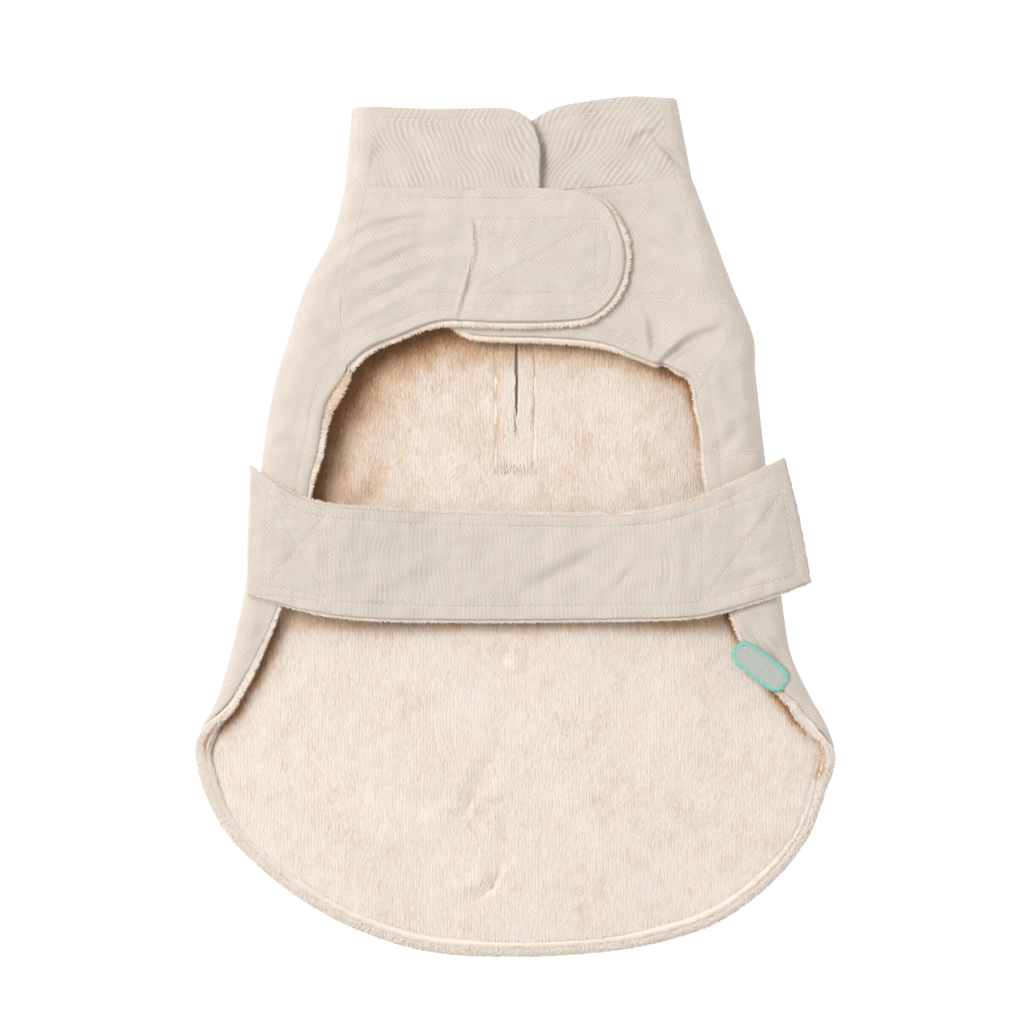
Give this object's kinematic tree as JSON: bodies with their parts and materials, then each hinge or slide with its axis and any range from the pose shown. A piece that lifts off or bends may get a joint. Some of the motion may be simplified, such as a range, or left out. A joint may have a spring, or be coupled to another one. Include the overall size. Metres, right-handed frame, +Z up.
{
  "type": "dog winter coat",
  "caption": "Quilted, fleece-lined winter coat for a dog, laid flat on its back with the chest flaps crossed and the belly band closed",
  "frame": {"origin": "on the surface that the coat lies on, under the middle of its bounding box", "axes": "+Y runs along the back from the hem to the collar, +X across the coat, +Z up out of the surface, with the belly side up"},
  "size_m": [0.3193, 0.4295, 0.0318],
  "materials": {
    "twill": "matte cream cotton twill",
    "fleece": "soft deep pile fleece",
    "hook_tape": "matte woven hook tape",
    "tab_felt": "matte felt with an overlocked edge"
  },
  "bodies": {
    "root": {"back_shell": "twill", "back_lining": "fleece", "left_chest_shell": "twill", "left_chest_lining": "fleece", "right_chest_shell": "twill", "right_chest_lining": "fleece", "collar": "twill", "belly_band_shell": "twill", "belly_band_lining": "fleece", "chest_hook_tape": "hook_tape", "belly_hook_tape": "hook_tape", "edge_tab": "tab_felt"}
  },
  "joints": []
}
